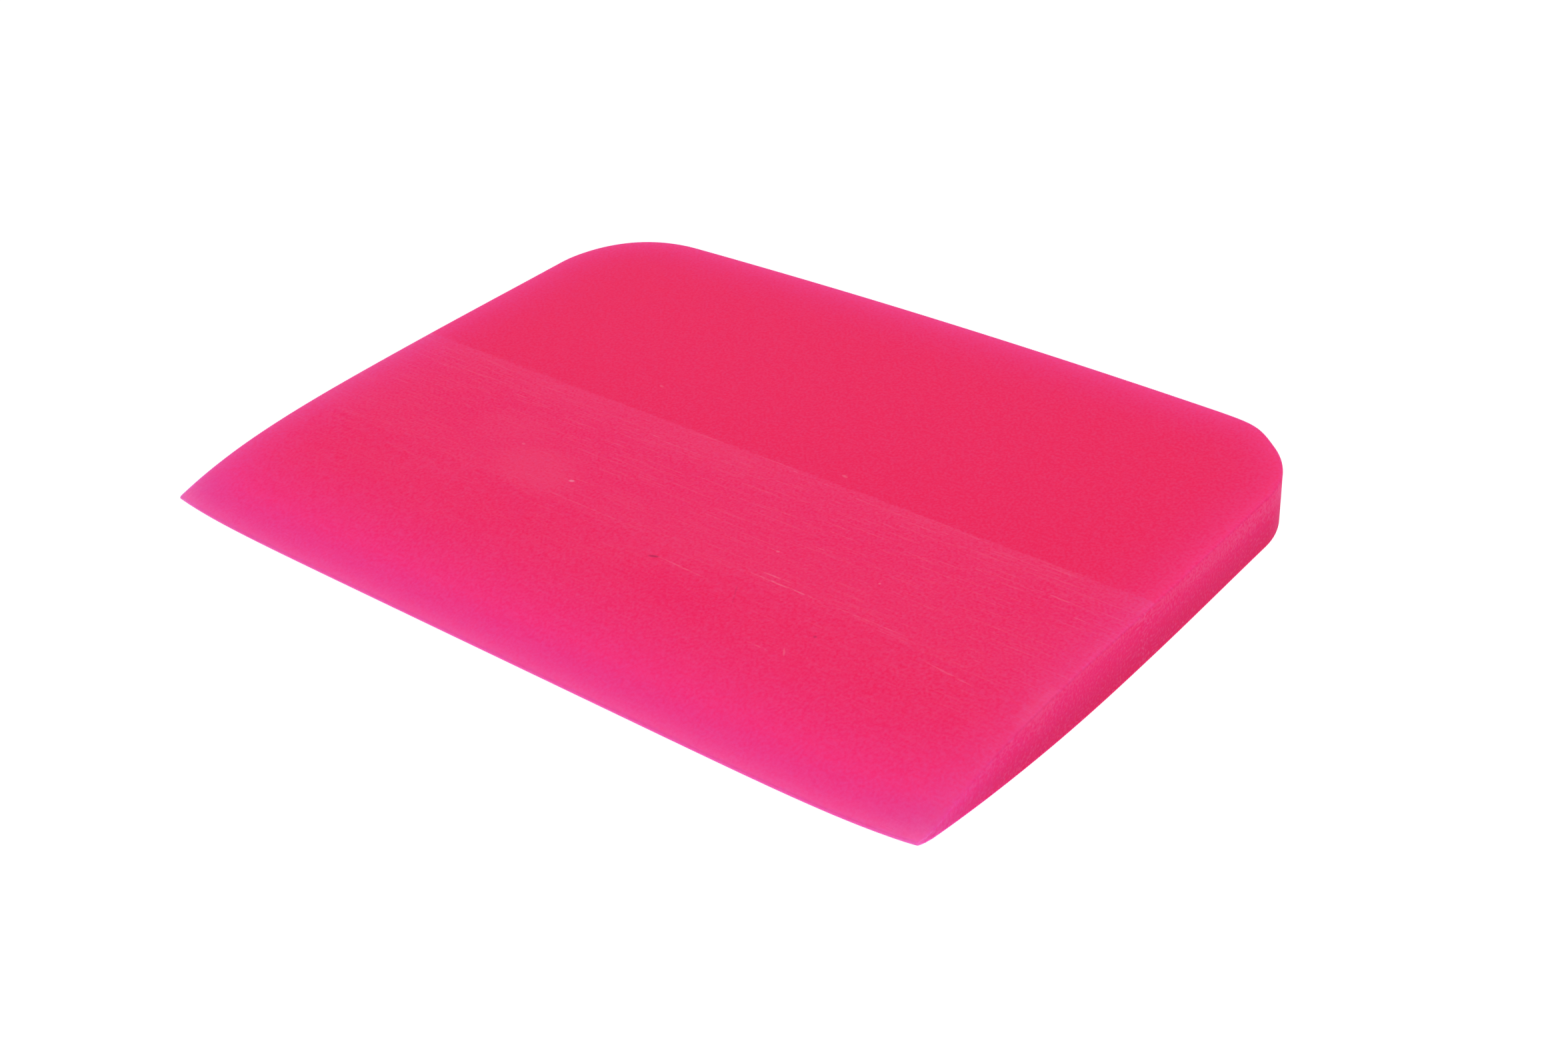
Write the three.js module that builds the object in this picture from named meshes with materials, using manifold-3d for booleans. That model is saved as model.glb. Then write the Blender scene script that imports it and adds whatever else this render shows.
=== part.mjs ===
// A squeegee blade, cast in one piece of polyurethane and ground to a thin working edge.
//
// Millimetres, +Z up. X runs along the working edge and Y from the working edge, at -Y,
// to the back. The origin is under the middle of the blade, in the plane of its underside.

import * as THREE from 'three';
import { mergeVertices } from 'three/addons/utils/BufferGeometryUtils.js';
import Module from 'manifold-3d';

// The sheet that the blade is cut from.
const bladeWidth = 101.6;      // side to side, along the working edge
const bladeDepth = 76.2;       // working edge to back, at the middle
const bladeThickness = 6.35;

// Its outline, seen from above.
const backCornerRadius = 12.7;
const backEdgeRadius = 970;    // the back bows out by less than a millimetre
const edgeBreak = 0.5;         // radius that takes the sharpness off the cut edges

// The two ground faces. Each starts level with its own flat and curves to the edge.
const topGrind = { run: 40, power: 4.2 };
const undersideGrind = { run: 34, power: 2.2 };
const workingEdgeHeight = 3.25; // middle of the working edge, above the underside
const workingEdgeLand = 0.5;    // its blunt thickness
const tipSetback = 1.25;        // how far the working edge falls back at its two ends
const tipSetbackPower = 8;      // high, so that it stays straight until near the ends

// How finely the curves are drawn, and how far a cutting shape stands out of the sheet.
const cornerSteps = 14;
const backEdgeSteps = 8;
const edgeBreakSteps = 3;
const topGrindSteps = 14;
const undersideGrindSteps = 12;
const workingEdgeSteps = 24;
const toolClearance = 5;

const frontY = -bladeDepth / 2;
const backY = bladeDepth / 2;
const sideX = bladeWidth / 2;
const toolReach = sideX + toolClearance;

const polyurethane = new THREE.MeshStandardMaterial({
  name: 'polyurethane', color: 0xec376b, roughness: 0.5, metalness: 0,
});

const wasm = await Module();
wasm.setup();

// The right half of the outline, from the side round to the middle of the back. The corner
// arc runs smoothly into both the straight side and the bowed back.
function rightHalfOutline() {
  const points = [];
  const bowCentreY = backY - backEdgeRadius;
  const cornerX = sideX - backCornerRadius;
  const centreGap = backEdgeRadius - backCornerRadius;
  const cornerY = bowCentreY + Math.sqrt(centreGap ** 2 - cornerX ** 2);
  const bowAngle = Math.asin(cornerX / centreGap);

  for (let step = 0; step <= cornerSteps; step += 1) {
    const angle = (Math.PI / 2 - bowAngle) * (step / cornerSteps);
    points.push(new THREE.Vector2(
      cornerX + backCornerRadius * Math.cos(angle),
      cornerY + backCornerRadius * Math.sin(angle),
    ));
  }
  for (let step = 1; step <= backEdgeSteps; step += 1) {
    const angle = bowAngle * (1 - step / backEdgeSteps);
    points.push(new THREE.Vector2(
      backEdgeRadius * Math.sin(angle),
      bowCentreY + backEdgeRadius * Math.cos(angle),
    ));
  }
  return points;
}

// The whole outline. It stands out past the working edge, which grinding will shape.
function sheetOutline() {
  const right = rightHalfOutline();
  const left = right.slice(0, -1).reverse().map((point) => new THREE.Vector2(-point.x, point.y));
  return new THREE.Shape([
    new THREE.Vector2(-sideX, frontY - toolClearance),
    new THREE.Vector2(sideX, frontY - toolClearance),
    ...right,
    ...left,
  ]);
}

// The sheet cut to its outline, with its cut edges softened.
function cutSheet() {
  const geometry = new THREE.ExtrudeGeometry(sheetOutline(), {
    depth: bladeThickness - 2 * edgeBreak,
    bevelThickness: edgeBreak,
    bevelSize: edgeBreak,
    bevelOffset: -edgeBreak,
    bevelSegments: edgeBreakSteps,
  });
  return geometry.translate(0, 0, edgeBreak);
}

// Points down one ground face, from the line where it starts to the working edge. They lie
// closer together towards the edge, where the face curves most.
function groundFace(grind, steps, flatZ, edgeZ) {
  const points = [];
  for (let step = 0; step <= steps; step += 1) {
    const share = (step / steps) ** (2 / grind.power);
    points.push(new THREE.Vector2(
      frontY + grind.run * (1 - share),
      flatZ + (edgeZ - flatZ) * share ** grind.power,
    ));
  }
  return points;
}

// What grinding leaves, drawn in Y and Z. Behind the ground faces it stands out past the
// sheet, which keeps its own surface there.
function groundProfile() {
  const topEdgeZ = workingEdgeHeight + workingEdgeLand / 2;
  const undersideEdgeZ = workingEdgeHeight - workingEdgeLand / 2;
  const top = groundFace(topGrind, topGrindSteps, bladeThickness, topEdgeZ);
  const underside = groundFace(undersideGrind, undersideGrindSteps, 0, undersideEdgeZ);
  const topStartY = frontY + topGrind.run;
  const undersideStartY = frontY + undersideGrind.run;
  return new THREE.Shape([
    ...underside,
    ...top.reverse(),
    new THREE.Vector2(topStartY + toolClearance, bladeThickness + toolClearance),
    new THREE.Vector2(backY + toolClearance, bladeThickness + toolClearance),
    new THREE.Vector2(backY + toolClearance, -toolClearance),
    new THREE.Vector2(undersideStartY + toolClearance, -toolClearance),
  ]);
}

// Carries the front of the block back at its two ends, so that the working edge curves and
// stays thin there. The steps along it are drawn closer together towards the ends.
function curveWorkingEdge(geometry) {
  const position = geometry.attributes.position;
  for (let index = 0; index < position.count; index += 1) {
    const x = toolReach * Math.sin((Math.PI / 2) * (position.getX(index) / toolReach));
    const y = position.getY(index);
    const nearness = THREE.MathUtils.clamp((frontY + topGrind.run - y) / topGrind.run, 0, 1);
    const setback = tipSetback * Math.abs(x / sideX) ** tipSetbackPower;
    position.setXYZ(index, x, y + setback * nearness, position.getZ(index));
  }
  return geometry;
}

// The ground profile run across the blade.
function groundBlock() {
  const geometry = new THREE.ExtrudeGeometry(groundProfile(), {
    depth: 2 * toolReach,
    steps: workingEdgeSteps,
    bevelEnabled: false,
  });
  const acrossTheBlade = new THREE.Matrix4().makeBasis(
    new THREE.Vector3(0, 1, 0),
    new THREE.Vector3(0, 0, 1),
    new THREE.Vector3(1, 0, 0),
  );
  geometry.applyMatrix4(acrossTheBlade).translate(-toolReach, 0, 0);
  return curveWorkingEdge(geometry);
}

// A three.js geometry as a solid that can be cut.
function solidFrom(geometry) {
  geometry.deleteAttribute('normal');
  geometry.deleteAttribute('uv');
  const merged = mergeVertices(geometry, 1e-5);
  return new wasm.Manifold(new wasm.Mesh({
    numProp: 3,
    vertProperties: new Float32Array(merged.attributes.position.array),
    triVerts: new Uint32Array(merged.index.array),
  }));
}

// A cut solid as a three.js geometry.
function geometryFrom(solid) {
  const mesh = solid.getMesh();
  const geometry = new THREE.BufferGeometry();
  geometry.setAttribute('position', new THREE.BufferAttribute(mesh.vertProperties, 3));
  geometry.setIndex(new THREE.BufferAttribute(mesh.triVerts, 1));
  geometry.computeVertexNormals();
  return geometry;
}

function squeegeeBlade() {
  const ground = solidFrom(cutSheet()).intersect(solidFrom(groundBlock()));
  const mesh = new THREE.Mesh(geometryFrom(ground), polyurethane);
  mesh.name = 'squeegee_blade';
  return mesh;
}

const blade = new THREE.Group();
blade.add(squeegeeBlade());

export default blade;
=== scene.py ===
import math

import bmesh
import bpy
from mathutils import Matrix, Vector, noise


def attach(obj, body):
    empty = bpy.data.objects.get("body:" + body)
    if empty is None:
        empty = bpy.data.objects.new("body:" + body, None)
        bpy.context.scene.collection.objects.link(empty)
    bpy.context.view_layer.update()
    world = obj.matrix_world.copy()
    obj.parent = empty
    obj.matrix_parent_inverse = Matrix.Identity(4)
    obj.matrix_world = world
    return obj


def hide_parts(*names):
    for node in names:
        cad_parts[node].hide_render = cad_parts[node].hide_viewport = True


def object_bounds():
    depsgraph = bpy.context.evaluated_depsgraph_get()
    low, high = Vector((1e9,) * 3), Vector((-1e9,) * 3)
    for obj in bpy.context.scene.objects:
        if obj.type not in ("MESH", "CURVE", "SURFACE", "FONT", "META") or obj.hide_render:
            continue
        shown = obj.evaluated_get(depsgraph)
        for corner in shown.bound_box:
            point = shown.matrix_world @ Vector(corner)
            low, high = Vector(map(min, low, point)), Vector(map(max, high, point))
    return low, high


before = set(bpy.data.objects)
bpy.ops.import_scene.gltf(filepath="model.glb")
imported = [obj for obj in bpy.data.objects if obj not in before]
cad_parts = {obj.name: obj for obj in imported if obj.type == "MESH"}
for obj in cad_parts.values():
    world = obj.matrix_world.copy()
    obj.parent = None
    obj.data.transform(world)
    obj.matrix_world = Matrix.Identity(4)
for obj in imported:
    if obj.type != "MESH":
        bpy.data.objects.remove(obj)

mm = 0.001
tiny = 0.001 * mm    # places closer than this are taken to be the same
cadLow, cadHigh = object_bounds()
cadSize = cadHigh - cadLow
cadMiddle = (cadLow + cadHigh) / 2
frontY, backY, sideX = cadLow.y, cadHigh.y, cadHigh.x
print("frame loaded: box", tuple(round(v / mm, 2) for v in cadSize), "mm")


# Colours are written as sRGB hex and turned to the linear values that shaders take.
def linear(hexColour):
    channels = [int(hexColour[i:i + 2], 16) / 255 for i in (1, 3, 5)]
    return [c / 12.92 if c <= 0.04045 else ((c + 0.055) / 1.055) ** 2.4 for c in channels] + [1.0]


white = (1, 1, 1, 1)


# Adds a node and gives back one of its outputs. A setting is a property of the node, or an
# input's value or the output that feeds it.
def addNode(tree, kind, settings, use=0):
    node = tree.nodes.new(kind)
    for name, value in settings.items():
        if isinstance(value, bpy.types.NodeSocket):
            tree.links.new(value, node.inputs[name])
        elif isinstance(name, str) and hasattr(node, name):
            setattr(node, name, value)
        else:
            node.inputs[name].default_value = value
    return node.outputs[use] if len(node.outputs) else None


def newMaterial(name):
    material = bpy.data.materials.new(name)
    material.use_nodes = True
    material.node_tree.nodes.clear()
    return material, material.node_tree


cameraPlace = {
    "azimuth": 40.96,         # degrees to the right of straight in front
    "elevation": 32.95,
    "roll": -3.90,
    "distance": 234.5,        # mm from the aim point
    "aim": (8.63, -3.37),     # mm from the middle of the blade
    "lens": 50.7,
    "sensor": 36,
    "nearClip": 10,           # mm
}


def makeCamera():
    azimuth = math.radians(cameraPlace["azimuth"])
    elevation = math.radians(cameraPlace["elevation"])
    back = Vector((math.sin(azimuth) * math.cos(elevation),
                   -math.cos(azimuth) * math.cos(elevation),
                   math.sin(elevation)))
    aim = cadMiddle + Vector((*cameraPlace["aim"], 0)) * mm
    data = bpy.data.cameras.new("camera")
    data.lens = cameraPlace["lens"]
    data.sensor_width = cameraPlace["sensor"]
    data.clip_start = cameraPlace["nearClip"] * mm
    camera = bpy.data.objects.new("camera", data)
    camera.location = aim + back * cameraPlace["distance"] * mm
    roll = Matrix.Rotation(math.radians(cameraPlace["roll"]), 4, "Z")
    camera.rotation_euler = (back.to_track_quat("Z", "Y").to_matrix().to_4x4() @ roll).to_euler()
    bpy.context.scene.collection.objects.link(camera)
    bpy.context.scene.camera = camera
    print("camera placed")


studio = {
    "floorSize": 20.0,        # metres
    "floorGap": 0.02,         # mm below the blade
    "floorColour": "#606060",
    "floorRoughness": 0.9,
    "floorGlow": 1.0,
    "worldLight": 0.50,
    "overhead": {"at": (0.12, -0.05, 1.0), "size": 0.9, "power": 5.8},    # metres and watts
}


def lightStudio():
    scene = bpy.context.scene
    scene.view_settings.view_transform = "Standard"
    scene.world = bpy.data.worlds.new("studioWorld")
    scene.world.use_nodes = True
    background = scene.world.node_tree.nodes["Background"]
    background.inputs["Color"].default_value = white
    background.inputs["Strength"].default_value = studio["worldLight"]

    settings = studio["overhead"]
    data = bpy.data.lights.new("overhead", "AREA")
    data.shape = "SQUARE"
    data.size = settings["size"]
    data.energy = settings["power"]
    light = bpy.data.objects.new("overhead", data)
    light.location = settings["at"]
    light.rotation_euler = Vector(settings["at"]).to_track_quat("Z", "Y").to_euler()
    scene.collection.objects.link(light)
    print("studio lit")


# White acrylic of a light table. It glows from below, so it stays white and shows no shadow.
def whiteAcrylic():
    material, tree = newMaterial("whiteAcrylic")
    shader = addNode(tree, "ShaderNodeBsdfPrincipled", {
        "Base Color": linear(studio["floorColour"]), "Roughness": studio["floorRoughness"],
        "Specular IOR Level": 0.0,
        "Emission Color": white, "Emission Strength": studio["floorGlow"],
    })
    addNode(tree, "ShaderNodeOutputMaterial", {"Surface": shader})
    return material


def makeFloor():
    bm = bmesh.new()
    bmesh.ops.create_grid(bm, x_segments=1, y_segments=1, size=studio["floorSize"] / 2)
    bmesh.ops.translate(bm, vec=(0, 0, cadLow.z - studio["floorGap"] * mm), verts=bm.verts)
    mesh = bpy.data.meshes.new("floor")
    bm.to_mesh(mesh)
    bm.free()
    mesh.materials.append(whiteAcrylic())
    floor = bpy.data.objects.new("floor", mesh)
    bpy.context.scene.collection.objects.link(floor)
    print("floor laid")


# All in mm, but for the angles, the powers, the shares and the numbers of segments and rows.
bladeShape = {
    "backCorner": {"radius": 12.7, "segments": 28},
    "backBow": 0.86,           # how far the middle of the back stands out past its corners
    "edgeBreak": {"size": 0.24, "segments": 4, "sharperThan": 45},   # rounds sharper edges
    "topGrind": {"run": 40.0, "power": 4.3},
    "undersideGrind": {"run": 34.0, "power": 2.2},
    "edgeHeight": 3.25,        # middle of the working edge
    "edgeLand": 0.36,
    "noseReach": 0.16,         # how far the rounded nose stands out
    "tipSetback": {"left": 0.95, "right": 1.3, "power": 7.5},   # the edge falls back at its ends

    # How it was trimmed by hand: its sides bow out a little and its corners aren't quite round.
    "sideBow": {"height": 0.22, "middle": 40.0, "length": 28.0},
    "cornerBulge": {           # degrees round from the side
        "left": {"at": 52, "reach": 40, "height": 0.34},
        "right": {"at": 69, "reach": 19, "height": 0.30},
    },
    "wander": {"height": 0.04, "length": 16.0, "reach": 8.0},
    # The top of the right side is softened more and more towards the tip, which is nipped off.
    # It never loses more than a share of what grinding has left.
    "softened": {"depth": 0.55, "width": 2.4, "from": 34.0, "most": 0.3},
    "nippedTip": {"inset": 0.3, "length": 2.0},

    "rowSpacing": 1.0,
    "noseRows": (0.15, 0.4, 0.7),
    "columnSpacing": 1.5,
    "sideColumns": (0.5, 1.0, 1.6, 2.3, 3.1),
    "wallRows": 6,
    "mergeDistance": 0.002,
    "flatFaceWeight": 100,     # how far the largest faces rule the shading, of 100
}
cornerRadius = bladeShape["backCorner"]["radius"] * mm
edgeBreak = bladeShape["edgeBreak"]["size"] * mm
topRun = bladeShape["topGrind"]["run"] * mm
undersideRun = bladeShape["undersideGrind"]["run"] * mm
landTop = cadLow.z + (bladeShape["edgeHeight"] + bladeShape["edgeLand"] / 2) * mm
landLow = cadLow.z + (bladeShape["edgeHeight"] - bladeShape["edgeLand"] / 2) * mm


# The sheet: a box with round back corners and softened long edges.
def cutSheet():
    s = bladeShape
    bm = bmesh.new()
    bmesh.ops.create_cube(bm, size=1)
    bmesh.ops.scale(bm, vec=cadSize, verts=bm.verts)
    bmesh.ops.translate(bm, vec=cadMiddle, verts=bm.verts)
    upright = [e for e in bm.edges
               if all(v.co.y > cadMiddle.y for v in e.verts)
               and abs(e.verts[0].co.z - e.verts[1].co.z) > cadSize.z / 2]
    bmesh.ops.bevel(bm, geom=upright, affect="EDGES", offset=cornerRadius,
                    segments=s["backCorner"]["segments"], profile=0.5, material=-1)
    rims = [e for e in bm.edges
            if abs(e.verts[0].co.z - e.verts[1].co.z) < cadSize.z / 2
            and not all(v.co.y < frontY + tiny for v in e.verts)
            and e.calc_face_angle(0) > math.radians(s["edgeBreak"]["sharperThan"])]
    bmesh.ops.bevel(bm, geom=rims, affect="EDGES", offset=edgeBreak,
                    segments=s["edgeBreak"]["segments"], profile=0.5, material=-1)
    return bm


# Cuts that give it rows and columns to bend along, closer together near the rims.
def cutRowsAndColumns(bm):
    s = bladeShape
    rowCount = round(cadSize.y / mm / s["rowSpacing"])
    rows = [frontY + cadSize.y * i / rowCount for i in range(1, rowCount)]
    rows += [frontY + topRun, frontY + undersideRun]
    rows += [frontY + step * mm for step in s["noseRows"]]
    columnCount = round(cadSize.x / mm / s["columnSpacing"])
    columns = [-sideX + cadSize.x * i / columnCount for i in range(1, columnCount)]
    columns += [side * (sideX - inset * mm) for side in (-1, 1) for inset in s["sideColumns"]]
    levels = [cadLow.z + cadSize.z * i / s["wallRows"] for i in range(1, s["wallRows"])]
    for axis, places in ((1, rows), (0, columns), (2, levels)):
        normal = Vector((0, 0, 0))
        normal[axis] = 1
        for place in places:
            bmesh.ops.bisect_plane(bm, geom=bm.verts[:] + bm.edges[:] + bm.faces[:], dist=tiny,
                                   plane_co=cadMiddle + normal * (place - cadMiddle[axis]),
                                   plane_no=normal)


# What the material needs to know at each point, taken while the sheet is still flat. The
# corner turn is only for the trimming.
def measureSheet(bm):
    layer = bm.verts.layers.float
    rimDistance = layer.new("rimDistance")       # mm in from the cut outline
    edgeDistance = layer.new("edgeDistance")     # mm back from the working edge
    grindDistance = layer.new("grindDistance")   # mm past the line where grinding starts
    sawnWall = layer.new("sawnWall")             # 1 on the cut walls, 0 on the faces
    wallLevel = layer.new("wallLevel")           # 0 at the underside, 1 at the top
    facesRight = layer.new("facesRight")         # 1 where the nearest cut edge faces right
    cornerTurn = layer.new("cornerTurn")         # degrees round a back corner from its side
    for v in bm.verts:
        x, y, z = v.co
        right = 1.0 if x > 0 else 0.0
        inX = sideX - abs(x)
        inY = backY - y
        if inX < cornerRadius and inY < cornerRadius:
            outX = cornerRadius - inX
            outY = cornerRadius - inY
            inside = cornerRadius - math.hypot(outX, outY)
            v[cornerTurn] = math.degrees(math.atan2(outY, outX))
            v[facesRight] = right * math.cos(math.radians(v[cornerTurn]))
        else:
            inside = min(inX, inY)
            v[facesRight] = right if inX < inY else 0.0
        v[rimDistance] = inside / mm
        v[edgeDistance] = (y - frontY) / mm
        v[grindDistance] = (frontY + (topRun if z > cadMiddle.z else undersideRun) - y) / mm
        fromFace = min(z - cadLow.z, cadHigh.z - z)
        v[sawnWall] = min(1.0, max(0.0, fromFace / edgeBreak)) if inside < edgeBreak else 0.0
        v[wallLevel] = (z - cadLow.z) / cadSize.z


# Goes from 0 to 1 and is level at both ends.
def ease(share):
    share = min(1.0, max(0.0, share))
    return share * share * (3 - 2 * share)


# How far along a ground face a place is: 0 where it starts, 1 at the working edge.
def alongGrind(y, run):
    return max(0.0, (frontY + run - y) / run)


# Grinding squeezes each level of the sheet between the two ground faces.
def grind(v, flat, at):
    s = bladeShape
    top = cadHigh.z + (landTop - cadHigh.z) * alongGrind(flat.y, topRun) ** s["topGrind"]["power"]
    alongLow = alongGrind(flat.y, undersideRun)
    low = cadLow.z + (landLow - cadLow.z) * alongLow ** s["undersideGrind"]["power"]
    softened = s["softened"]
    fromSide = (sideX - abs(flat.x)) / mm
    if flat.x > 0 and fromSide < softened["width"]:
        drop = softened["depth"] * mm * ease(1 - at["edgeDistance"] / softened["from"])
        drop = min(drop, softened["most"] * (top - low))
        top -= drop * (1 - fromSide / softened["width"]) ** 2
    v.co.z = low + (top - low) * at["wallLevel"]


# The round nose, the ends that fall back and the nipped right tip.
def shapeWorkingEdge(v, flat, at):
    s = bladeShape
    side = "right" if flat.x > 0 else "left"
    if flat.y < frontY + tiny:
        rounding = 1 - math.sqrt(max(0.0, 1 - (2 * at["wallLevel"] - 1) ** 2))
        v.co.y += s["noseReach"] * mm * rounding
    setback = s["tipSetback"][side] * mm * (abs(flat.x) / sideX) ** s["tipSetback"]["power"]
    v.co.y += setback * alongGrind(flat.y, topRun)
    nipped = s["nippedTip"]
    if side == "right" and at["edgeDistance"] < nipped["length"]:
        fromSide = (sideX - abs(flat.x)) / mm
        fromTip = math.hypot(at["edgeDistance"], fromSide) / nipped["length"]
        v.co.x -= nipped["inset"] * mm * max(0.0, 1 - fromTip) ** 2


# The bowed back and sides, the bulged corners and the wandering outline.
def trim(v, flat, at):
    s = bladeShape
    side = "right" if flat.x > 0 else "left"
    outwards = math.copysign(1, flat.x)
    toBack = max(0.0, (flat.y - cadMiddle.y) / (backY - cadMiddle.y))
    v.co.y -= s["backBow"] * mm * (flat.x / (sideX - cornerRadius)) ** 2 * toBack ** 2

    bow = s["sideBow"]
    fromBow = abs(at["edgeDistance"] - bow["middle"]) / bow["length"]
    v.co.x -= outwards * bow["height"] * mm * ease(fromBow) * (abs(flat.x) / sideX) ** 2

    bulge = s["cornerBulge"][side]
    if at["cornerTurn"] > 0:
        turn = math.radians(at["cornerTurn"])
        share = ease(1 - abs(at["cornerTurn"] - bulge["at"]) / bulge["reach"])
        share *= max(0.0, 1 - at["rimDistance"] / s["backCorner"]["radius"]) ** 2
        v.co += Vector((outwards * math.cos(turn), math.sin(turn), 0)) * (
            share * bulge["height"] * mm)

    wander = s["wander"]
    inwards = Vector((cadMiddle.x - v.co.x, cadMiddle.y - v.co.y, 0)).normalized()
    sway = noise.noise(v.co / (wander["length"] * mm)) * 0.5 + 0.5    # between 0 and 1
    nearRim = max(0.0, 1 - at["rimDistance"] / wander["reach"])
    v.co += inwards * wander["height"] * mm * sway * nearRim


def makeBlade():
    bm = cutSheet()
    cutRowsAndColumns(bm)
    measureSheet(bm)
    print("sheet cut:", len(bm.faces), "faces")

    layers = bm.verts.layers.float
    for v in bm.verts:
        flat = v.co.copy()
        at = {name: v[layer] for name, layer in layers.items()}
        grind(v, flat, at)
        shapeWorkingEdge(v, flat, at)
        trim(v, flat, at)
    layers.remove(layers["cornerTurn"])
    bmesh.ops.remove_doubles(bm, verts=bm.verts, dist=bladeShape["mergeDistance"] * mm)
    bmesh.ops.recalc_face_normals(bm, faces=bm.faces)
    mesh = bpy.data.meshes.new("blade")
    bm.to_mesh(mesh)
    bm.free()
    mesh.shade_smooth()
    mesh.materials.append(polyurethane())
    blade = bpy.data.objects.new("blade", mesh)
    bpy.context.scene.collection.objects.link(blade)
    weighted = blade.modifiers.new("flatFacesKeepTheirNormals", "WEIGHTED_NORMAL")
    weighted.weight = bladeShape["flatFaceWeight"]
    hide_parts("squeegee_blade")
    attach(blade, "root")
    print("blade made:", len(mesh.polygons), "faces")


# Cast polyurethane. The sheet is cast in an open mould, which gives it a satin skin. A belt
# sander thins it towards the working edge and leaves fine lines across the blade in a milky
# bloom. Its outline is sawn, which leaves a coarse grain. The polymer is clear enough to pass
# light where it is thin or near an edge.
polymer = {
    "body": "#f0155a",
    "sawn": "#f10a61",
    "shade": "#d4085a",        # where less light comes out, such as low on a sawn wall
    "through": "#ee46c3",      # painted light that has come through the polymer
    "bloom": "#f3bcd3",        # light a scuffed surface scatters; also painted edge glow and wall sheen
    "dirt": "#6a1233",
    "scatter": 2.0,            # mm that light wanders inside
    "scatterRadius": (1.0, 0.35, 0.6),
    "roughness": {"cast": 0.48, "ground": 0.62, "sawn": 0.73},
    "ior": 1.5,
    "specular": 0.15,

    # An edge's painted glow: how strong it is there, how many mm it reaches, how fast it falls away.
    "workingEdge": {"through": (0.39, 17.0, 1.9), "bloom": (0.12, 7.0, 5.0)},
    "workingEdgeShade": (0.75, 5.0, 1.0),
    "cutEdge": {"through": (0.262, 24.6, 6.5), "bloom": (0.082, 8.0, 5.0)},
    "tip": (0.060, 11.0, 2.0),
    "groundRimShade": (0.25, 4.0, 1.5),
    "tipShade": (0.45, 8.0, 1.0),
    "thinWall": (0.092, 34.0, 1.0),    # on the walls, from the working edge
    # Shares of that glow on edges that face right, on sawn walls and on the cast skin.
    "rightEdgeShare": {"through": 0.62, "bloom": 0.42},
    "wallShare": {"through": 0.60, "bloom": 0.40},
    "castBloomShare": 0.65,
    "skin": {"through": 0.02, "bloom": 0.012},

    # The zone that has been ground.
    "ground": {"through": 0.035, "bloom": 0.0115},
    "grindLine": {"waver": 0.35, "cells": (2.5, 2.5, 2.5), "detail": 4.0, "softness": 0.12},
    "nearGrindLine": (0.020, 9.0, 2.5),
    "secondPass": {"from": 6.0, "to": 19.2, "softness": 0.3, "bloom": 0.007},
    "hazeFade": {"from": 5.0, "to": 18.0, "least": 0.35},     # mm back from the working edge
    "grainFade": {"from": 4.0, "to": 42.0, "least": 0.15},

    # The grit is finer than this, but finer lines would not show.
    "cloud": {"cells": (11.0, 6.0, 11.0), "detail": 4.0, "bloom": 0.026},
    "sanding": {"cells": (0.4, 0.22, 0.4), "detail": 2.0, "bloom": 0.076},
    "line": {"cells": (5.0, 0.2, 4.0), "detail": 1.0, "span": (0.03, 0.33), "bloom": 0.070},
    "scratch": {"cells": (8.0, 0.16, 4.0), "detail": 1.0, "span": (0.20, 0.30), "bloom": 0.19},
    "broken": {"cells": (1.0, 0.3, 1.0), "detail": 2.0, "span": (-0.05, 0.15)},
    "finest": {"cells": (0.3, 0.34, 0.3), "detail": 1.0,
               "bloom": 0.088, "through": 0.20, "shade": 0.25},

    # The sawn walls.
    "saw": {"cells": (0.3, 0.3, 0.3), "detail": 3.0, "bloom": 0.20, "through": 0.14},
    "lowOnWall": {"from": 0.2, "shade": 0.72},
    # A band of painted sheen under the top of each sawn wall.
    "paintedSheenBand": {"bloom": 0.033, "from": 34.0, "to": 56.0, "depth": (0.13, 0.35),
                    "softness": 0.10},
    "crease": {"shade": 0.40, "through": -0.05, "from": 3.0, "to": 14.0},
    "lowerCorner": {"shade": 1.0, "from": 0.86, "reach": 0.8},
    "bump": {"strength": 0.4, "depth": 0.03, "line": 0.6, "saw": 1.0, "finest": 0.5},
}

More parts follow.
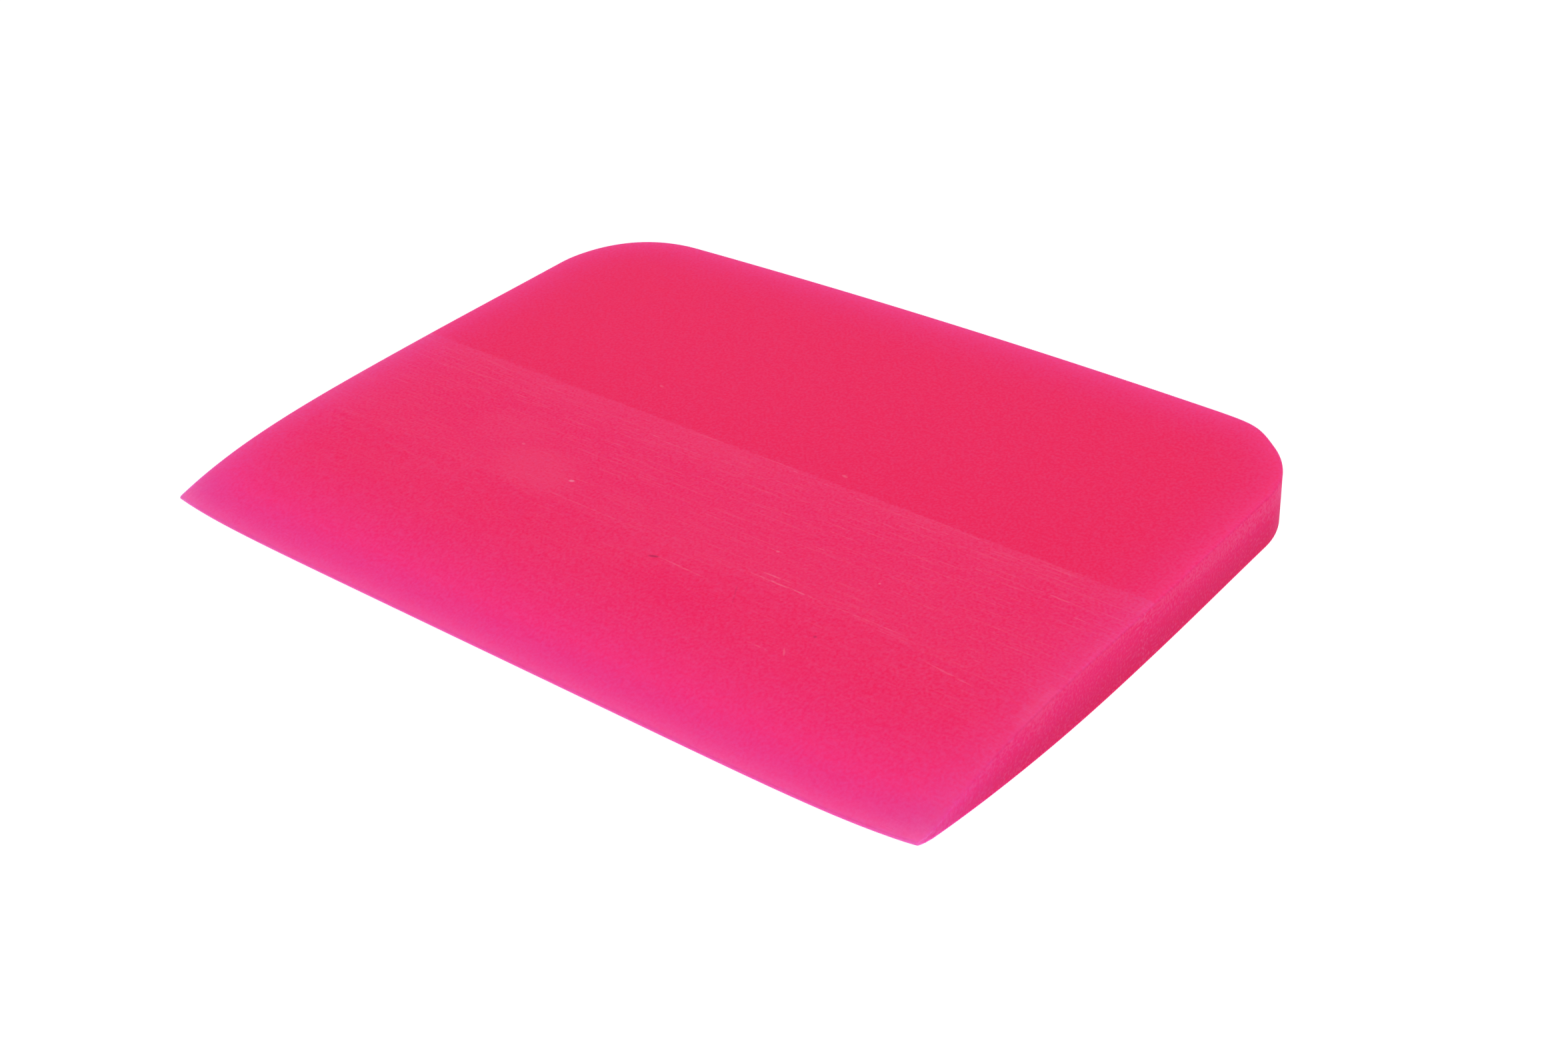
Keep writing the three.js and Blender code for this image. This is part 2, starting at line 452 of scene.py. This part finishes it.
# Marks of use on the top. Each is at mm from the middle and mm back from the working edge,
# and reaches mm along and across from there. It is turned by degrees.
marks = [
    # scratches along the sanding
    {"at": (19.0, 22.1), "size": (5.4, 0.17), "turn": 0.0, "bloom": 0.18},
    {"at": (17.4, 22.9), "size": (2.6, 0.15), "turn": 1.0, "bloom": 0.13},
    {"at": (29.5, 22.1), "size": (6.0, 0.14), "turn": 0.0, "bloom": 0.09},
    {"at": (8.2, 19.0), "size": (4.3, 0.15), "turn": -2.0, "bloom": 0.12},
    {"at": (-6.8, 21.8), "size": (11.0, 0.14), "turn": -0.5, "bloom": 0.06},
    {"at": (23.0, 13.3), "size": (2.0, 0.14), "turn": 0.0, "bloom": 0.09},
    {"at": (41.0, 19.6), "size": (4.4, 0.17), "turn": -6.0, "bloom": 0.09},
    {"at": (42.8, 35.4), "size": (3.4, 0.17), "turn": -1.0, "bloom": 0.10},
    # specks
    {"at": (-12.5, 24.7), "size": (0.46, 0.28), "turn": 20.0, "bloom": 0.32},
    {"at": (11.6, 41.7), "size": (0.6, 0.26), "turn": -12.0, "bloom": 0.15},
    {"at": (-18.0, 45.6), "size": (0.5, 0.26), "turn": -20.0, "bloom": 0.12},
    {"at": (-22.4, 27.4), "size": (0.35, 0.25), "turn": 0.0, "bloom": 0.12},
    {"at": (14.7, 26.5), "size": (0.3, 0.25), "turn": 0.0, "bloom": 0.14},
    {"at": (26.7, 27.7), "size": (0.2, 0.2), "turn": 0.0, "bloom": 0.18},
    {"at": (25.6, 13.9), "size": (0.8, 0.16), "turn": -55.0, "bloom": 0.12},
    # lint and hairs
    {"at": (4.5, 18.9), "size": (0.8, 0.26), "turn": 20.0, "dirt": 0.42},
    {"at": (26.7, 17.3), "size": (0.3, 0.25), "turn": 0.0, "dirt": 0.26},
    {"at": (15.8, 18.3), "size": (2.6, 0.12), "turn": -60.0, "dirt": 0.12},
    # clouded and clearer patches
    {"at": (-17.8, 24.4), "size": (8.0, 5.0), "turn": -12.0, "bloom": 0.026},
    {"at": (-26.0, 29.6), "size": (7.0, 4.4), "turn": 15.0, "bloom": 0.015},
    {"at": (-5.0, 37.0), "size": (15.0, 4.0), "turn": -2.0, "bloom": 0.010},
    {"at": (10.0, 15.6), "size": (12.0, 3.6), "turn": 0.0, "bloom": -0.012},
    {"at": (50.3, 20.2), "size": (2.0, 4.0), "turn": 0.0, "bloom": 0.026},
]
markShape = {
    "depth": 4.0,              # mm, enough to reach down to the ground face
    "core": 0.3,               # share of a mark's reach that has its full strength
    "brokenOver": 1.0,         # mm along, past which a mark is broken up
    "brokenUnder": 0.25,       # mm across, if it is thinner than this
    "brokenSpan": (-0.15, 0.08),
}

smoothly = {"interpolation_type": "SMOOTHSTEP"}
creasePeak = 0.25      # the most that wall times face comes to, half way round a cut edge


# What is left of an edge's glow at a distance from it.
def edgeGlow(tree, distance, glow):
    strength, reach, power = glow
    near = addNode(tree, "ShaderNodeMapRange", {
        "Value": distance, "From Min": reach, "From Max": 0.0,
    })
    fallen = addNode(tree, "ShaderNodeMath", {"operation": "POWER", 0: near, 1: power})
    return addNode(tree, "ShaderNodeMath", {"operation": "MULTIPLY", 0: fallen, 1: strength})


# Grain about zero. A span keeps only its stronger part and makes that 0 to 1.
def grain(tree, place, look):
    scaled = addNode(tree, "ShaderNodeMapping", {
        "Vector": place, "Scale": [1 / (cell * mm) for cell in look["cells"]],
    })
    texture = addNode(tree, "ShaderNodeTexNoise", {
        "Vector": scaled, "Scale": 1.0, "Detail": look["detail"],
    })
    level = addNode(tree, "ShaderNodeMath", {"operation": "SUBTRACT", 0: texture, 1: 0.5})
    if "span" in look:
        level = addNode(tree, "ShaderNodeMapRange", {
            **smoothly, "Value": level, "From Min": look["span"][0], "From Max": look["span"][1],
        })
    return level


# The distance past the grinding line, which wavers, and the zone that it bounds. Grain goes
# half a unit each way, so the waver is doubled.
def groundZone(tree, place, at):
    line = polymer["grindLine"]
    past = addNode(tree, "ShaderNodeMath", {
        "operation": "MULTIPLY_ADD", 0: grain(tree, place, line), 1: 2 * line["waver"],
        2: at["grindDistance"],
    })
    zone = addNode(tree, "ShaderNodeMapRange", {
        **smoothly, "Value": past, "From Min": -line["softness"], "From Max": line["softness"],
    })
    return past, addNode(tree, "ShaderNodeMath", {
        "operation": "MULTIPLY", 0: zone, 1: at["face"],
    })


# Painted light through the working edge and the cut edges, and the painted bloom along them.
def edgeLight(tree, at, ground):
    p = polymer
    share = {}
    for light, most in p["wallShare"].items():
        edgeShare = addNode(tree, "ShaderNodeMath", {
            "operation": "MULTIPLY_ADD", 0: at["facesRight"], 1: p["rightEdgeShare"][light] - 1,
            2: 1.0,
        })
        onWall = addNode(tree, "ShaderNodeMapRange", {
            **smoothly, "Value": at["wallLevel"], "To Max": most,
        })
        onAll = addNode(tree, "ShaderNodeMix", {0: at["sawnWall"], 2: 1.0, 3: onWall})
        share[light] = addNode(tree, "ShaderNodeMath", {
            "operation": "MULTIPLY", 0: edgeShare, 1: onAll,
        })
    castShare = addNode(tree, "ShaderNodeMath", {
        "operation": "MULTIPLY_ADD", 0: ground, 1: 1 - p["castBloomShare"], 2: p["castBloomShare"],
    })
    bloomShare = addNode(tree, "ShaderNodeMath", {
        "operation": "MULTIPLY", 0: share["bloom"], 1: castShare,
    })

    # Where two glows meet, the second only lights what the first has left.
    through = edgeGlow(tree, at["edgeDistance"], p["workingEdge"]["through"])
    left = addNode(tree, "ShaderNodeMath", {"operation": "SUBTRACT", 0: 1.0, 1: through})
    fromRim = edgeGlow(tree, at["rimDistance"], p["cutEdge"]["through"])
    fromRim = addNode(tree, "ShaderNodeMath", {
        "operation": "MULTIPLY", 0: fromRim, 1: share["through"],
    })
    thinWall = edgeGlow(tree, at["edgeDistance"], p["thinWall"])
    for glow, amount in ((fromRim, left), (thinWall, at["sawnWall"])):
        through = addNode(tree, "ShaderNodeMath", {
            "operation": "MULTIPLY_ADD", 0: glow, 1: amount, 2: through,
        })

    bloom = edgeGlow(tree, at["edgeDistance"], p["workingEdge"]["bloom"])
    fromRim = edgeGlow(tree, at["rimDistance"], p["cutEdge"]["bloom"])
    fromTip = edgeGlow(tree, at["rimDistance"], p["tip"])
    nearTip = edgeGlow(tree, at["edgeDistance"], (1.0, *p["tip"][1:]))
    for glow, amount in ((fromRim, bloomShare), (fromTip, nearTip)):
        bloom = addNode(tree, "ShaderNodeMath", {
            "operation": "MULTIPLY_ADD", 0: glow, 1: amount, 2: bloom,
        })
    return through, bloom


# The milky bloom of the sanding: cloudy, streaked and scratched.
def sandingHaze(tree, place, at, past):
    p = polymer
    second = p["secondPass"]
    starts = addNode(tree, "ShaderNodeMapRange", {
        **smoothly, "Value": past, "From Min": second["from"], "From Max": second["to"],
    })
    ends = addNode(tree, "ShaderNodeMapRange", {
        **smoothly, "Value": past, "From Min": second["to"] + second["softness"],
        "From Max": second["to"] - second["softness"],
    })
    secondPass = addNode(tree, "ShaderNodeMath", {"operation": "MULTIPLY", 0: starts, 1: ends})
    scratches = addNode(tree, "ShaderNodeMath", {
        "operation": "MULTIPLY", 0: grain(tree, place, p["scratch"]),
        1: grain(tree, place, p["broken"]),
    })
    lines = grain(tree, place, p["line"])
    sanding = grain(tree, place, p["sanding"])
    steady = addNode(tree, "ShaderNodeMath", {
        "operation": "ADD", 0: edgeGlow(tree, past, p["nearGrindLine"]), 1: p["ground"]["bloom"],
    })
    clouds = grain(tree, place, p["cloud"])
    haze = 0.0
    for fade, start, parts in (
        (p["hazeFade"], steady, ((secondPass, second["bloom"]), (clouds, p["cloud"]["bloom"]))),
        (p["grainFade"], 0.0, (
            (sanding, p["sanding"]["bloom"]),
            (lines, p["line"]["bloom"]),
            (scratches, p["scratch"]["bloom"]),
        )),
    ):
        for part, bloom in parts:
            start = addNode(tree, "ShaderNodeMath", {
                "operation": "MULTIPLY_ADD", 0: part, 1: bloom, 2: start,
            })
        left = addNode(tree, "ShaderNodeMapRange", {
            **smoothly, "Value": at["edgeDistance"], "From Min": fade["from"],
            "From Max": fade["to"], "To Min": fade["least"],
        })
        haze = addNode(tree, "ShaderNodeMath", {
            "operation": "MULTIPLY_ADD", 0: start, 1: left, 2: haze,
        })
    relief = addNode(tree, "ShaderNodeMath", {"operation": "ADD", 0: sanding, 1: lines})
    return haze, relief


# A lighter band of painted sheen under the top of a sawn wall, which widens towards the back.
def paintedSheenBand(tree, at):
    band = polymer["paintedSheenBand"]
    width = addNode(tree, "ShaderNodeMapRange", {
        **smoothly, "Value": at["edgeDistance"], "From Min": band["from"], "From Max": band["to"],
        "To Min": 1 - band["depth"][0], "To Max": 1 - band["depth"][1],
    })
    above = addNode(tree, "ShaderNodeMath", {"operation": "SUBTRACT", 0: at["wallLevel"], 1: width})
    inBand = addNode(tree, "ShaderNodeMapRange", {
        **smoothly, "Value": above, "From Min": -band["softness"], "From Max": band["softness"],
    })
    return addNode(tree, "ShaderNodeMath", {"operation": "MULTIPLY", 0: inBand, 1: at["sawnWall"]})


# Sawn walls darken downwards, and so do their rounded lower corners. The working edge, its two
# tips, the ground rims and the creases along the sides are a little darker too.
def edgeShade(tree, at, ground):
    p = polymer
    depth = addNode(tree, "ShaderNodeMapRange", {
        **smoothly, "Value": at["wallLevel"], "From Min": 1 - p["lowOnWall"]["from"],
        "From Max": 0.0, "To Max": p["lowOnWall"]["shade"],
    })
    corner = addNode(tree, "ShaderNodeMapRange", {
        **smoothly, "Value": at["wallLevel"], "From Min": 1 - p["lowerCorner"]["from"],
        "From Max": 0.0, "To Max": p["lowerCorner"]["shade"],
    })
    nearRim = edgeGlow(tree, at["rimDistance"], (1.0, p["lowerCorner"]["reach"], 1.0))
    behindTip = addNode(tree, "ShaderNodeMapRange", {
        **smoothly, "Value": at["edgeDistance"], "From Min": p["crease"]["from"],
        "From Max": p["crease"]["to"], "To Max": p["crease"]["shade"] / creasePeak,
    })
    nearTip = edgeGlow(tree, at["edgeDistance"], (1.0, *p["tipShade"][1:]))
    shade = edgeGlow(tree, at["edgeDistance"], p["workingEdgeShade"])
    for part, amount in (
        (depth, at["sawnWall"]), (corner, nearRim), (at["crease"], behindTip),
        (edgeGlow(tree, at["rimDistance"], p["groundRimShade"]), ground),
        (edgeGlow(tree, at["rimDistance"], p["tipShade"]), nearTip),
    ):
        shade = addNode(tree, "ShaderNodeMath", {
            "operation": "MULTIPLY_ADD", 0: part, 1: amount, 2: shade,
        })
    return shade


# Adds the marks of use to the bloom, and finds the dirt. Long thin marks are broken up.
def addMarks(tree, place, bloom):
    broken = grain(tree, place, {**polymer["broken"], "span": markShape["brokenSpan"]})
    dirt = 0.0
    for mark in marks:
        length, width = mark["size"]
        spot = addNode(tree, "ShaderNodeMapping", {
            "vector_type": "TEXTURE", "Vector": place,
            "Location": (mark["at"][0] * mm, cadLow.y + mark["at"][1] * mm, cadHigh.z),
            "Rotation": (0, 0, math.radians(mark["turn"])),
            "Scale": (length * mm, width * mm, markShape["depth"] * mm),
        })
        reach = addNode(tree, "ShaderNodeVectorMath", {"operation": "LENGTH", 0: spot}, "Value")
        shape = addNode(tree, "ShaderNodeMapRange", {
            **smoothly, "Value": reach, "From Min": 1.0, "From Max": markShape["core"],
        })
        if length > markShape["brokenOver"] and width < markShape["brokenUnder"]:
            shape = addNode(tree, "ShaderNodeMath", {"operation": "MULTIPLY", 0: shape, 1: broken})
        if "dirt" in mark:
            dirt = addNode(tree, "ShaderNodeMath", {
                "operation": "MULTIPLY_ADD", 0: shape, 1: mark["dirt"], 2: dirt,
            })
        else:
            bloom = addNode(tree, "ShaderNodeMath", {
                "operation": "MULTIPLY_ADD", 0: shape, 1: mark["bloom"], 2: bloom,
            })
    return bloom, dirt


def polyurethane():
    p = polymer
    material, tree = newMaterial("castPolyurethane")
    place = addNode(tree, "ShaderNodeTexCoord", {}, "Object")
    at = {}
    for name in ("rimDistance", "edgeDistance", "grindDistance", "sawnWall", "wallLevel",
                 "facesRight"):
        at[name] = addNode(tree, "ShaderNodeAttribute", {"attribute_name": name}, "Fac")
    at["face"] = addNode(tree, "ShaderNodeMath", {
        "operation": "SUBTRACT", 0: 1.0, 1: at["sawnWall"],
    })
    at["crease"] = addNode(tree, "ShaderNodeMath", {
        "operation": "MULTIPLY", 0: at["sawnWall"], 1: at["face"],
    })

    past, ground = groundZone(tree, place, at)
    through, bloom = edgeLight(tree, at, ground)
    haze, sandedRelief = sandingHaze(tree, place, at, past)
    sawGrain = grain(tree, place, p["saw"])
    sawn = addNode(tree, "ShaderNodeMath", {"operation": "MULTIPLY", 0: sawGrain, 1: at["sawnWall"]})
    finest = grain(tree, place, p["finest"])
    for part, amount in (
        (haze, ground),
        (sawn, p["saw"]["bloom"]),
        (paintedSheenBand(tree, at), p["paintedSheenBand"]["bloom"]),
        (at["face"], p["skin"]["bloom"]),
        (finest, p["finest"]["bloom"]),
    ):
        bloom = addNode(tree, "ShaderNodeMath", {
            "operation": "MULTIPLY_ADD", 0: part, 1: amount, 2: bloom,
        })
    for part, amount in (
        (ground, p["ground"]["through"]),
        (sawn, p["saw"]["through"]),
        (at["face"], p["skin"]["through"]),
        (at["crease"], p["crease"]["through"] / creasePeak),
        (finest, p["finest"]["through"]),
    ):
        through = addNode(tree, "ShaderNodeMath", {
            "operation": "MULTIPLY_ADD", 0: part, 1: amount, 2: through,
        })
    bloom, dirt = addMarks(tree, place, bloom)
    shade = edgeShade(tree, at, ground)
    shade = addNode(tree, "ShaderNodeMath", {
        "operation": "MULTIPLY_ADD", 0: finest, 1: p["finest"]["shade"], 2: shade,
    })

    colour = linear(p["body"])
    for share, over in (
        (at["sawnWall"], "sawn"), (shade, "shade"), (through, "through"), (bloom, "bloom"),
        (dirt, "dirt"),
    ):
        colour = addNode(tree, "ShaderNodeMix", {
            "data_type": "RGBA", 0: share, 6: colour, 7: linear(p[over]),
        }, 2)

    roughness = p["roughness"]["cast"]
    for zone, over in ((ground, "ground"), (at["sawnWall"], "sawn")):
        roughness = addNode(tree, "ShaderNodeMix", {
            0: zone, 2: roughness, 3: p["roughness"][over],
        })

    sandedRelief = addNode(tree, "ShaderNodeMath", {
        "operation": "MULTIPLY", 0: sandedRelief, 1: ground,
    })
    relief = 0.0
    for part, height in (
        (sandedRelief, p["bump"]["line"]), (sawn, p["bump"]["saw"]), (finest, p["bump"]["finest"]),
    ):
        relief = addNode(tree, "ShaderNodeMath", {
            "operation": "MULTIPLY_ADD", 0: part, 1: height, 2: relief,
        })
    normal = addNode(tree, "ShaderNodeBump", {
        "Height": relief, "Strength": p["bump"]["strength"], "Distance": p["bump"]["depth"] * mm,
    })
    shader = addNode(tree, "ShaderNodeBsdfPrincipled", {
        "Base Color": colour, "Roughness": roughness, "Normal": normal,
        "IOR": p["ior"], "Specular IOR Level": p["specular"],
        "subsurface_method": "RANDOM_WALK",
        "Subsurface Weight": 1.0, "Subsurface Radius": p["scatterRadius"],
        "Subsurface Scale": p["scatter"] * mm,
    })
    addNode(tree, "ShaderNodeOutputMaterial", {"Surface": shader})
    return material


makeCamera()
lightStudio()
makeFloor()
makeBlade()
